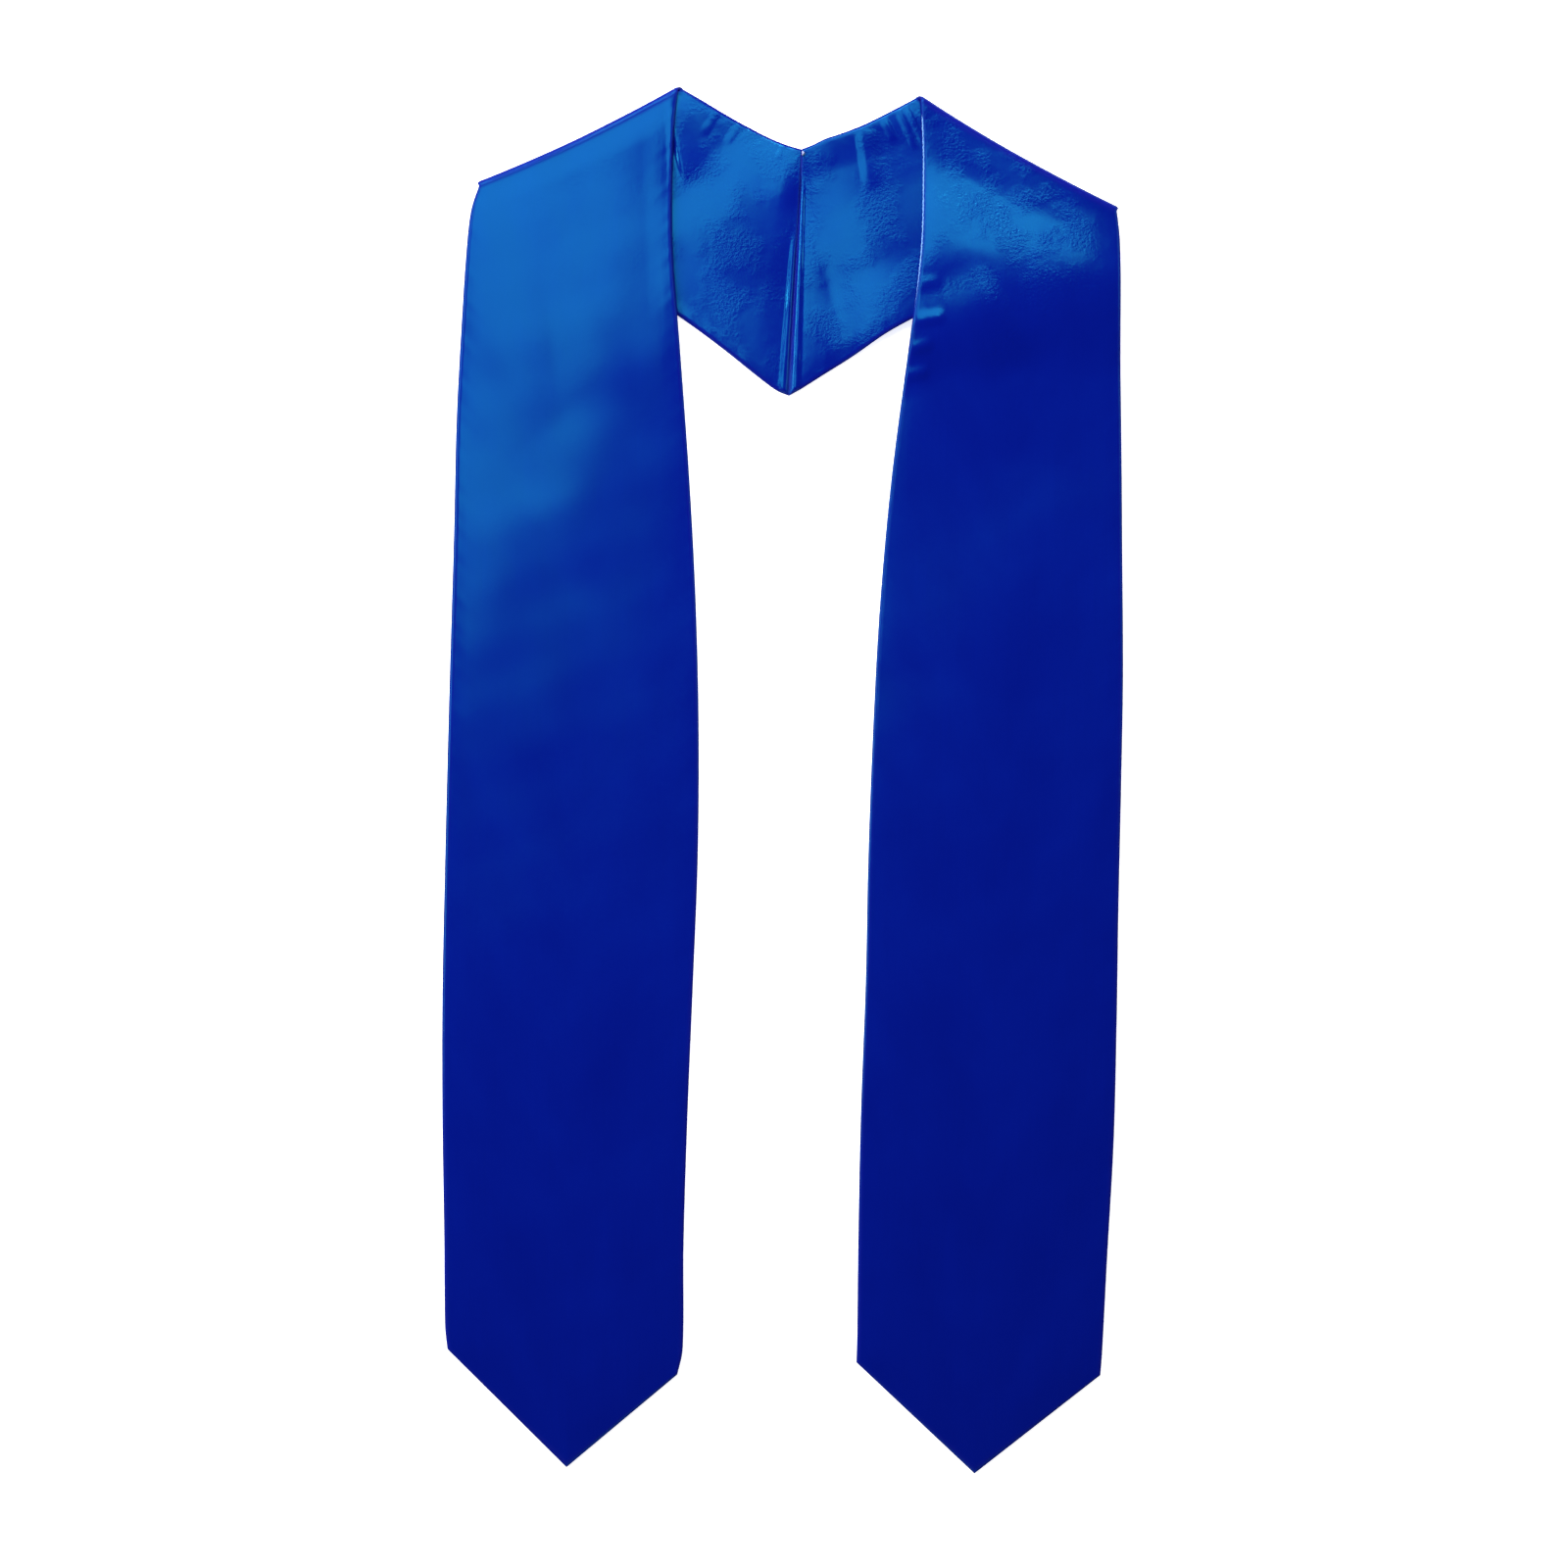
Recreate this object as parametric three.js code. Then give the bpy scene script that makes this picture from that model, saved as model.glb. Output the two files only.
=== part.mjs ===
// A graduation stole laid flat. Two satin bands meet at a centre back seam, and each one is folded
// over at the shoulder, so its front lies on the back piece, the yoke, and ends in a point.
// Each band is a flat tube of two cloths: the face, which shows in front, and the lining, which
// turns up in the yoke. Millimetres, +X to the right, +Y towards the neck, +Z up from the floor.
import * as THREE from 'three';

// Sizes of the whole stole
const frontLength = 661; // shoulder tip to hem corner
const bandWidth = 140; // a front band at its widest
const pointDepth = 59.5; // hem corners to the tip of the point
const neckSpan = 136.7; // between the two neck peaks
const neckDrop = 32.9; // neck peaks down to the top of the centre seam
const shoulderSpan = 363.3; // between the two shoulder tips
const shoulderDrop = 58.6; // neck peaks down to the shoulder tips
const seamLength = 139.4; // centre back seam

// Sizes of the cloth
const clothThickness = 1; // one cloth with its seam allowance
const layerGap = 0.3; // between face and lining at their edges
const seamGap = 0.3; // between the two halves at the centre back
const bandLoft = 0.6; // how far the upper cloth stands off in the middle of a band
const layClearance = 0.4; // between a front band and the yoke that it lies on
const edgeRounding = 1.2; // width of the rounded edge of a cloth
const edgeThickness = 0.35; // a cloth at its very edge
const loftReach = 18; // from a fold, hem or seam to the full loft
const rampLength = 120; // a front band comes down from the yoke to the floor
const rampClearance = 5; // the descent starts this far past the yoke's edge
const ridgeHeight = 0.8; // padded ridge beside the centre seam
const ridgeWidth = 5.5; // whole width of that ridge
const pointReach = 120; // above the hem corners, where the rows begin to bend to the point

// Shares of the sizes above
const seamLean = 0.054; // the seam's foot lies to the left by this share of its length
const shoulderSag = 0.016; // hollow of a shoulder fold, of bandWidth
const peakLean = 0.6; // a fold's neck end runs along its crease by this share of foldRadius

// Where each half lies, as shares: neckOut of neckSpan, neckUp of neckDrop, shoulderOut and hemOut
// of shoulderSpan, shoulderDown of shoulderDrop, hemWidth and hemSkew of bandWidth.
const halves = [
  {
    name: 'left',
    side: -1,
    neckOut: 0.512,
    neckUp: 1.089,
    shoulderOut: 0.507,
    shoulderDown: 0.924,
    hemOut: 0.5535,
    hemWidth: 0.931,
    hemSkew: 0.103,
    tipAcross: 0.518,
  },
  {
    name: 'right',
    side: 1,
    neckOut: 0.488,
    neckUp: 0.911,
    shoulderOut: 0.493,
    shoulderDown: 1.076,
    hemOut: 0.465,
    hemWidth: 0.988,
    hemSkew: -0.052,
    tipAcross: 0.516,
  },
];

// How far the edges of the fronts bow out from straight lines, as shares of bandWidth. Along runs
// from the shoulder, 0, to the hem corners, 1.
const edgeBows = [
  { along: 0, leftOuter: 0, leftInner: 0, rightOuter: 0, rightInner: 0 },
  { along: 0.02, leftOuter: 0.028, leftInner: -0.01, rightOuter: 0.012, rightInner: -0.012 },
  { along: 0.05, leftOuter: 0.042, leftInner: -0.02, rightOuter: 0.018, rightInner: -0.024 },
  { along: 0.12, leftOuter: 0.056, leftInner: -0.022, rightOuter: 0.024, rightInner: -0.032 },
  { along: 0.2, leftOuter: 0.066, leftInner: 0.009, rightOuter: 0.035, rightInner: 0 },
  { along: 0.3, leftOuter: 0.064, leftInner: 0.046, rightOuter: 0.045, rightInner: 0.04 },
  { along: 0.4, leftOuter: 0.065, leftInner: 0.073, rightOuter: 0.054, rightInner: 0.06 },
  { along: 0.5, leftOuter: 0.065, leftInner: 0.085, rightOuter: 0.052, rightInner: 0.062 },
  { along: 0.6, leftOuter: 0.063, leftInner: 0.081, rightOuter: 0.048, rightInner: 0.055 },
  { along: 0.7, leftOuter: 0.059, leftInner: 0.061, rightOuter: 0.047, rightInner: 0.04 },
  { along: 0.8, leftOuter: 0.046, leftInner: 0.04, rightOuter: 0.041, rightInner: 0.033 },
  { along: 0.9, leftOuter: 0.026, leftInner: 0.025, rightOuter: 0.021, rightInner: 0.018 },
  { along: 0.98, leftOuter: 0.012, leftInner: 0.022, rightOuter: 0.006, rightInner: 0.002 },
  { along: 1, leftOuter: 0, leftInner: 0, rightOuter: 0, rightInner: 0 },
];

// How far the edges of the yoke bow in from straight lines, as shares of bandWidth. Along runs from
// the shoulder, 0, to the centre seam, 1.
const yokeBows = [
  { along: 0, leftLower: 0, leftNeck: 0, rightLower: 0, rightNeck: 0 },
  { along: 0.15, leftLower: 0.006, leftNeck: 0.005, rightLower: 0.006, rightNeck: 0.006 },
  { along: 0.3, leftLower: 0.013, leftNeck: 0.012, rightLower: 0.014, rightNeck: 0.011 },
  { along: 0.45, leftLower: 0.019, leftNeck: 0.017, rightLower: 0.022, rightNeck: 0.014 },
  { along: 0.6, leftLower: 0.021, leftNeck: 0.019, rightLower: 0.028, rightNeck: 0.011 },
  { along: 0.7, leftLower: 0.018, leftNeck: 0.02, rightLower: 0.03, rightNeck: 0.0065 },
  { along: 0.8, leftLower: 0.008, leftNeck: 0.0175, rightLower: 0.0145, rightNeck: 0.001 },
  { along: 0.9, leftLower: -0.008, leftNeck: 0.011, rightLower: 0.006, rightNeck: 0.003 },
  { along: 0.96, leftLower: -0.0125, leftNeck: 0.005, rightLower: 0, rightNeck: 0.0015 },
  { along: 1, leftLower: 0, leftNeck: 0, rightLower: 0, rightNeck: 0 },
];

// Soft billows where the cloth stands off the floor. Each has a crest through its middle, x and y
// from the top of the centre seam, that runs in the direction turn, in degrees. It reaches by long
// ahead and by back behind, and falls away over left and right on its two sides, the left side
// widening along the crest by fan. Lengths are shares of bandWidth, and height of billowHeight. A
// ground billow lifts the yoke and the front that lies on it, and a front one the front alone.
const billowHeight = 4.4;
const billowFields = ['x', 'y', 'turn', 'long', 'back', 'left', 'right', 'fan', 'height'];
const billows = {
  leftGround: [
    [-0.5, 0.236, 25, 0.514, 0.514, 0.214, 0.329, 0, 0.32],
    [-0.214, -0.193, 50, 0.371, 0.371, 0.243, 0.371, 0, 0.34],
    [0, -0.014, -84, 0.229, 0.229, 0.143, 0.186, 0, 0.3],
  ],
  rightGround: [
    [0.243, 0.129, 22, 0.643, 0.643, 0.086, 0.343, 0, 0.45],
    [0.536, -0.407, 17, 1.071, 0.464, 1.071, 1.071, 0, 1],
    [0.386, -0.8, 26, 0.257, 0.257, 0.357, 0.214, 0, 0.48],
  ],
  leftFront: [
    [-1.086, -0.75, -88, 0.643, 0.643, 0.429, 0.286, 0, 0.11],
    [-0.843, -1.357, 40, 0.357, 0.357, 0.314, 0.429, 0, 0.16],
    [-0.6, -0.743, 6, 0.429, 0.429, 0.5, 0.429, 0, 0.18],
    [-1.071, -3.357, 20, 0.429, 0.429, 0.571, 0.571, 0, 0.2],
    [-0.571, -4.429, -60, 0.429, 0.429, 0.429, 0.429, 0, 0.23],
  ],
  rightFront: [
    [0.843, 0.043, -28, 0.786, 0.786, 0.143, 0.243, 0, 0.45],
    [0.914, -0.529, -1, 0.686, 0.929, 0.386, 0.4, -0.65, 0.86],
    [0.5, -0.429, 12, 0.286, 0.286, 0.357, 0.171, 0, 0.18],
    [0.686, -0.714, 35, 0.186, 0.186, 0.243, 0.271, 0, 0.41],
    [0.786, -1.714, 75, 0.5, 0.5, 0.429, 0.429, 0, 0.23],
    [0.571, -2.571, -70, 0.5, 0.5, 0.429, 0.429, 0, 0.23],
    [0.857, -4, 60, 0.5, 0.5, 0.464, 0.464, 0, 0.23],
  ],
};

// Fineness of the surfaces
const frontRows = 24;
const frontRowCrowding = 1.6; // rows lie closer together towards the shoulder
const foldRows = 6;
const yokeRows = 11;
const columnsBesideTip = 5; // on each side of the column that runs to the tip of the point
const roundingSteps = [0, 0.25, 1]; // shares of edgeRounding
const ridgeSteps = [0.5, 1]; // shares of ridgeWidth

// Heights that follow from the cloth
const foldInside = bandLoft + layClearance;
const foldRise = foldInside + layerGap + 2 * clothThickness;
const middleOverFloor = clothThickness + layerGap / 2;
const foldRadius = foldRise / 2 + layerGap / 2 + clothThickness;

const satin = { color: 0x0a2fb4, roughness: 0.38, metalness: 0 };

function smoothShare(from, to, value) {
  return THREE.MathUtils.smoothstep(value, from, to);
}

// A hump that is 1 in the middle and 0 from a distance of 1 outwards.
function hump(distanceSquared) {
  return Math.max(0, 1 - distanceSquared) ** 2;
}

// An arch over 0 to 1 that is 1 in the middle.
function arch(share) {
  return 4 * share * (1 - share);
}

// A column of a table read at a share along it, on a smooth curve through its rows.
function readColumn(rows, column, along) {
  const last = rows.length - 1;
  let first = 0;
  while (first < last - 1 && rows[first + 1].along < along) first += 1;
  const rowAt = (index) => rows[THREE.MathUtils.clamp(index, 0, last)];
  const slopeAt = (index) => {
    const before = rowAt(index - 1);
    const after = rowAt(index + 1);
    return (after[column] - before[column]) / (after.along - before.along);
  };
  const span = rows[first + 1].along - rows[first].along;
  const s = (along - rows[first].along) / span;
  const startValue = rows[first][column] * (1 + 2 * s) * (1 - s) ** 2;
  const endValue = rows[first + 1][column] * (3 - 2 * s) * s ** 2;
  const startSlope = slopeAt(first) * span * s * (1 - s) ** 2;
  const endSlope = slopeAt(first + 1) * span * s ** 2 * (s - 1);
  return startValue + endValue + startSlope + endSlope;
}

// The corners of one half in plan, from the top of the centre seam.
function planOf(half) {
  const { side } = half;
  const seamTop = new THREE.Vector2((side * seamGap) / 2, 0);
  const seamFall = seamLength * Math.sqrt(1 - seamLean ** 2);
  const seamFoot = new THREE.Vector2(seamTop.x - seamLean * seamLength, -seamFall);
  const neckPeak = new THREE.Vector2(side * half.neckOut * neckSpan, half.neckUp * neckDrop);
  const shoulderTip = new THREE.Vector2(
    side * half.shoulderOut * shoulderSpan,
    neckPeak.y - half.shoulderDown * shoulderDrop,
  );
  const foldLine = neckPeak.clone().sub(shoulderTip).normalize();
  const foldOut = new THREE.Vector2(side * foldLine.y, -side * foldLine.x);
  const foldOuter = shoulderTip.clone().addScaledVector(foldOut, -foldRadius);
  const foldInner = neckPeak.clone().addScaledVector(foldOut, -foldRadius);
  const lean = foldLine.clone().multiplyScalar(peakLean * foldRadius);
  const frontInner = foldInner.clone().sub(lean);
  const yokeInner = foldInner.clone().add(lean);
  const hemOuter = new THREE.Vector2(
    side * half.hemOut * shoulderSpan,
    shoulderTip.y - frontLength,
  );
  const hemInner = new THREE.Vector2(
    hemOuter.x - side * half.hemWidth * bandWidth,
    hemOuter.y - half.hemSkew * bandWidth,
  );
  const lowerEdge = seamFoot.clone().sub(foldOuter).normalize();
  const pastYoke = new THREE.Vector2(-side * lowerEdge.y, side * lowerEdge.x);
  return {
    seamTop,
    seamFoot,
    foldOut,
    foldOuter,
    frontInner,
    yokeInner,
    hemOuter,
    hemInner,
    pastYoke,
  };
}

// Height of one billow at a place in plan: flat-topped along its crest, rounder across it.
function billowAt(billow, x, y) {
  const { turn, long, back, left, right, fan, height } = billow;
  const angle = THREE.MathUtils.degToRad(turn);
  const offX = x / bandWidth - billow.x;
  const offY = y / bandWidth - billow.y;
  const ahead = offX * Math.cos(angle) + offY * Math.sin(angle);
  const aside = offY * Math.cos(angle) - offX * Math.sin(angle);
  const along = ahead / (ahead > 0 ? long : back);
  const spread = aside > 0 ? left * Math.max(0.1, 1 + fan * along) : right;
  return billowHeight * height * hump(along ** 4) * hump((aside / spread) ** 2);
}

// How far the billows lift one part of a half at a place in plan.
function liftAt(half, part, x, y) {
  const tables = part === 'front' ? ['Ground', 'Front'] : ['Ground'];
  return tables
    .flatMap((table) => billows[`${half.name}${table}`])
    .map((row) => Object.fromEntries(billowFields.map((field, i) => [field, row[i]])))
    .reduce((sum, billow) => sum + billowAt(billow, x, y), 0);
}

// The rows that make a band, each one a line from its outer edge, across 0, to its inner edge, 1.
// A row says where its points lie, how far the band has turned over, and how far it lies from an
// end of the cloth.
function frontRow(half, plan, along) {
  const { side } = half;
  const bowOf = (edge) => bandWidth * readColumn(edgeBows, `${half.name}${edge}`, along);
  const outer = plan.foldOuter.clone().lerp(plan.hemOuter, along);
  const inner = plan.frontInner.clone().lerp(plan.hemInner, along);
  outer.x += side * bowOf('Outer');
  inner.x -= side * bowOf('Inner');
  const fromHem = (1 - along) * frontLength;
  const bend = pointDepth * Math.max(0, 1 - fromHem / pointReach) ** 2;
  const sag = shoulderSag * bandWidth * (1 - smoothShare(0, bandWidth, along * frontLength));
  const fromFold = smoothShare(0, loftReach, along * frontLength);
  return {
    turn: 0,
    width: outer.distanceTo(inner),
    inset: fromHem,
    faceLoft: fromFold * smoothShare(0, loftReach, fromHem),
    liningLoft: 0,
    ridge: 0,
    pointAt(across) {
      const point = outer.clone().lerp(inner, across);
      const tent = Math.min(across / half.tipAcross, (1 - across) / (1 - half.tipAcross));
      point.y -= bend * tent;
      point.addScaledVector(plan.foldOut, -sag * arch(across));
      const pastYoke = point.clone().sub(plan.foldOuter).dot(plan.pastYoke) - rampClearance;
      const rise = foldRise * (1 - smoothShare(0, rampLength, pastYoke));
      const lift = liftAt(half, 'front', point.x, point.y);
      return new THREE.Vector3(point.x, point.y, middleOverFloor + rise + lift);
    },
  };
}

function foldRow(half, plan, turn) {
  const frontEdge = frontRow(half, plan, 0);
  const yokeEdge = yokeRow(half, plan, 0);
  const inner = plan.frontInner.clone().lerp(plan.yokeInner, (1 - Math.cos(turn)) / 2);
  return {
    turn,
    width: plan.foldOuter.distanceTo(inner),
    inset: Infinity,
    faceLoft: 0,
    liningLoft: 0,
    ridge: 0,
    pointAt(across) {
      const point = plan.foldOuter.clone().lerp(inner, across);
      const out = (foldRise / 2) * Math.sin(turn) - shoulderSag * bandWidth * arch(across);
      point.addScaledVector(plan.foldOut, out);
      const high = frontEdge.pointAt(across).z;
      const low = yokeEdge.pointAt(across).z;
      return new THREE.Vector3(point.x, point.y, low + ((high - low) * (1 + Math.cos(turn))) / 2);
    },
  };
}

function yokeRow(half, plan, along) {
  const outer = plan.foldOuter.clone().lerp(plan.seamFoot, along);
  const inner = plan.yokeInner.clone().lerp(plan.seamTop, along);
  outer.y += bandWidth * readColumn(yokeBows, `${half.name}Lower`, along);
  inner.y -= bandWidth * readColumn(yokeBows, `${half.name}Neck`, along);
  const lowerLength = plan.foldOuter.distanceTo(plan.seamFoot);
  const neckLength = plan.yokeInner.distanceTo(plan.seamTop);
  const length = (lowerLength + neckLength) / 2;
  const fromSeam = (1 - along) * length;
  const sag = shoulderSag * bandWidth * (1 - smoothShare(0, 1, along));
  const ridgeOff = fromSeam / (ridgeWidth / 2) - 1;
  return {
    turn: Math.PI,
    width: outer.distanceTo(inner),
    inset: fromSeam,
    faceLoft: 0,
    liningLoft: smoothShare(0, loftReach, along * length) * smoothShare(0, loftReach, fromSeam),
    ridge: ridgeHeight * hump(ridgeOff ** 2),
    pointAt(across) {
      const point = outer.clone().lerp(inner, across);
      point.addScaledVector(plan.foldOut, -sag * arch(across));
      const lift = liftAt(half, 'yoke', point.x, point.y);
      return new THREE.Vector3(point.x, point.y, middleOverFloor + lift);
    },
  };
}

// All rows of one half, from the point of the front, over the shoulder, to the centre seam.
function rowsOf(half, plan) {
  const rows = [];
  const yokeLength = plan.foldOuter.distanceTo(plan.seamFoot);
  roundingSteps.forEach((step) => {
    rows.push(frontRow(half, plan, 1 - (step * edgeRounding) / frontLength));
  });
  for (let i = frontRows - 1; i >= 0; i -= 1) {
    rows.push(frontRow(half, plan, (i / frontRows) ** frontRowCrowding));
  }
  for (let i = 1; i < foldRows; i += 1) {
    rows.push(foldRow(half, plan, (Math.PI * i) / foldRows));
  }
  for (let i = 0; i < yokeRows; i += 1) {
    rows.push(yokeRow(half, plan, (i / yokeRows) * (1 - (2 * ridgeWidth) / yokeLength)));
  }
  const seamSteps = [
    ...ridgeSteps.map((step) => step * ridgeWidth).reverse(),
    ...roundingSteps.map((step) => step * edgeRounding).reverse(),
  ];
  seamSteps.forEach((step) => rows.push(yokeRow(half, plan, 1 - step / yokeLength)));
  return rows;
}

// The columns of a row as shares across it, with close ones at the rounded edges and one that runs
// to the tip of the point.
function columnsOf(width, tipAcross) {
  const edge = roundingSteps.map((step) => ({
    across: (step * edgeRounding) / width,
    inset: step * edgeRounding,
  }));
  const firstInner = edge[edge.length - 1].across;
  const spread = (from, to) =>
    Array.from({ length: columnsBesideTip }, (_, i) => ({
      across: THREE.MathUtils.lerp(from, to, i / columnsBesideTip),
      inset: Infinity,
    }));
  const middle = [...spread(firstInner, tipAcross).slice(1), ...spread(tipAcross, 1 - firstInner)];
  const otherEdge = edge.map(({ across, inset }) => ({ across: 1 - across, inset })).reverse();
  return [...edge, ...middle, ...otherEdge];
}

// The cloth's thickness at a distance from its edge, on a quarter circle.
function thicknessAt(inset) {
  const share = Math.min(1, inset / edgeRounding);
  const round = Math.sqrt(1 - (1 - share) ** 2);
  return edgeThickness + (clothThickness - edgeThickness) * round;
}

// The two surfaces of one cloth, row by row. The face lies on the side that the band's turn points
// to, and the lining on the other.
function clothSurfaces(half, plan, rows, isFace) {
  return rows.map((row) =>
    columnsOf(row.width, half.tipAcross).map(({ across, inset }) => {
      const middle = row.pointAt(across);
      const away = new THREE.Vector3(
        plan.foldOut.x * Math.sin(row.turn),
        plan.foldOut.y * Math.sin(row.turn),
        Math.cos(row.turn),
      ).multiplyScalar(isFace ? 1 : -1);
      const loft = bandLoft * (1 - (2 * across - 1) ** 4) * (isFace ? row.faceLoft : row.liningLoft);
      const near = layerGap / 2 + loft;
      const endThickness = thicknessAt(Math.min(inset, row.inset));
      const ridge = isFace ? 0 : row.ridge * Math.min(1, inset / edgeRounding);
      const far = near + endThickness + ridge;
      return {
        near: middle.clone().addScaledVector(away, near),
        far: middle.clone().addScaledVector(away, far),
      };
    }),
  );
}

// One closed shell from the near and far surfaces, with walls round all four sides.
function shellGeometry(surfaces, flipped) {
  const rowCount = surfaces.length;
  const columnCount = surfaces[0].length;
  const positions = surfaces.flatMap((row) =>
    row.flatMap(({ near, far }) => [...near.toArray(), ...far.toArray()]),
  );
  const nearAt = (row, column) => 2 * (row * columnCount + column);
  const farAt = (row, column) => nearAt(row, column) + 1;
  const indices = [];
  const quad = (a, b, c, d) => {
    indices.push(...(flipped ? [a, c, b, a, d, c] : [a, b, c, a, c, d]));
  };
  for (let row = 0; row < rowCount - 1; row += 1) {
    for (let column = 0; column < columnCount - 1; column += 1) {
      const corners = [
        [row, column],
        [row, column + 1],
        [row + 1, column + 1],
        [row + 1, column],
      ];
      quad(...corners.map((corner) => farAt(...corner)));
      quad(...corners.map((corner) => nearAt(...corner)).reverse());
    }
    const last = columnCount - 1;
    quad(nearAt(row, 0), farAt(row, 0), farAt(row + 1, 0), nearAt(row + 1, 0));
    quad(farAt(row, last), nearAt(row, last), nearAt(row + 1, last), farAt(row + 1, last));
  }
  const end = rowCount - 1;
  for (let column = 0; column < columnCount - 1; column += 1) {
    quad(farAt(0, column), nearAt(0, column), nearAt(0, column + 1), farAt(0, column + 1));
    quad(nearAt(end, column), farAt(end, column), farAt(end, column + 1), nearAt(end, column + 1));
  }
  const geometry = new THREE.BufferGeometry();
  geometry.setAttribute('position', new THREE.Float32BufferAttribute(positions, 3));
  geometry.setIndex(indices);
  geometry.computeVertexNormals();
  return geometry;
}

function clothMesh(half, plan, rows, clothName) {
  const isFace = clothName === 'face';
  const facesUp = (half.side < 0) === isFace;
  const geometry = shellGeometry(clothSurfaces(half, plan, rows, isFace), !facesUp);
  const mesh = new THREE.Mesh(geometry, new THREE.MeshStandardMaterial(satin));
  mesh.name = `${half.name}_${clothName}`;
  return mesh;
}

const cloths = new THREE.Group();
halves.forEach((half) => {
  const plan = planOf(half);
  const rows = rowsOf(half, plan);
  ['face', 'lining'].forEach((clothName) => cloths.add(clothMesh(half, plan, rows, clothName)));
});

// The origin is on the floor under the middle of the stole.
const extent = new THREE.Box3().setFromObject(cloths);
const centre = extent.getCenter(new THREE.Vector3());
cloths.position.set(-centre.x, -centre.y, -extent.min.z);

const stole = new THREE.Group();
stole.add(cloths);

export default stole;
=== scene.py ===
"""A graduation stole of royal blue satin, laid flat on a pale floor and seen from above.

Every cloth is a closed surface on a grid of rows along the band and columns across it. Metres, +X to
the right, +Y towards the neck, +Z up. The origin is on the floor under the middle of the stole.
"""

import bpy
import numpy as np
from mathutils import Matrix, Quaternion, Vector


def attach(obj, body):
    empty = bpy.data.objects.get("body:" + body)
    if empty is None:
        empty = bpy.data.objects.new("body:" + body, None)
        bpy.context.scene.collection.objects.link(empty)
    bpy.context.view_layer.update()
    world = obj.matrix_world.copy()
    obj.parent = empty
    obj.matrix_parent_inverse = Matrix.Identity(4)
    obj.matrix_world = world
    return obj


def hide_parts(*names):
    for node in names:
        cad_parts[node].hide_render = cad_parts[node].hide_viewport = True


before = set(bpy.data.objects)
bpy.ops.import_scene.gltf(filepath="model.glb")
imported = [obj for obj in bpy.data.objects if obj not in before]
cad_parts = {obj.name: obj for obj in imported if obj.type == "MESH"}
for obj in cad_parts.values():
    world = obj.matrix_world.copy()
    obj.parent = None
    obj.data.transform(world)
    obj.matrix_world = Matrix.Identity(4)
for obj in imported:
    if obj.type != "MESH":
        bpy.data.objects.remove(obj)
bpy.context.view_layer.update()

bl_info = {
    "name": "Graduation Stole",
    "version": (1, 0, 0),
    "blender": (4, 5, 0),
    "location": "3D View > Sidebar > Stole",
    "description": "Builds a satin graduation stole, laid flat and folded at the shoulders",
    "category": "Object",
}

# Where each half lies, as shares of the named sizes.
HALVES = {
    "left": dict(
        side=-1, neck_out=0.512, neck_up=1.089, shoulder_out=0.507, shoulder_down=0.924,
        hem_out=0.5535, hem_width=0.931, hem_skew=0.103, tip_across=0.518,
    ),
    "right": dict(
        side=1, neck_out=0.488, neck_up=0.911, shoulder_out=0.493, shoulder_down=1.076,
        hem_out=0.465, hem_width=0.988, hem_skew=-0.052, tip_across=0.516,
    ),
}

# How far the edges of the fronts bow out, as shares of the band's width. Along runs from the
# shoulder, 0, to the hem corners, 1.
EDGE_BOWS = dict(
    along=(0, 0.02, 0.05, 0.12, 0.2, 0.3, 0.4, 0.5, 0.6, 0.7, 0.8, 0.9, 0.98, 1),
    left_outer=(0, 0.028, 0.042, 0.056, 0.066, 0.064, 0.065, 0.065, 0.063, 0.059, 0.046, 0.026, 0.012, 0),
    left_inner=(0, -0.01, -0.02, -0.022, 0.009, 0.046, 0.073, 0.085, 0.081, 0.061, 0.04, 0.025, 0.022, 0),
    right_outer=(0, 0.012, 0.018, 0.024, 0.035, 0.045, 0.054, 0.052, 0.048, 0.047, 0.041, 0.021, 0.006, 0),
    right_inner=(0, -0.012, -0.024, -0.032, 0, 0.04, 0.06, 0.062, 0.055, 0.04, 0.033, 0.018, 0.002, 0),
)

# How far the edges of the yoke bow in. Along runs from the shoulder, 0, to the centre seam, 1.
YOKE_BOWS = dict(
    along=(0, 0.15, 0.3, 0.45, 0.6, 0.7, 0.8, 0.9, 0.96, 1),
    left_lower=(0, 0.006, 0.013, 0.019, 0.021, 0.018, 0.008, -0.008, -0.0125, 0),
    left_neck=(0, 0.005, 0.012, 0.017, 0.019, 0.02, 0.0175, 0.011, 0.005, 0),
    right_lower=(0, 0.006, 0.014, 0.022, 0.028, 0.03, 0.0145, 0.006, 0, 0),
    right_neck=(0, 0.006, 0.011, 0.014, 0.011, 0.0065, 0.001, 0.003, 0.0015, 0),
)

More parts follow.
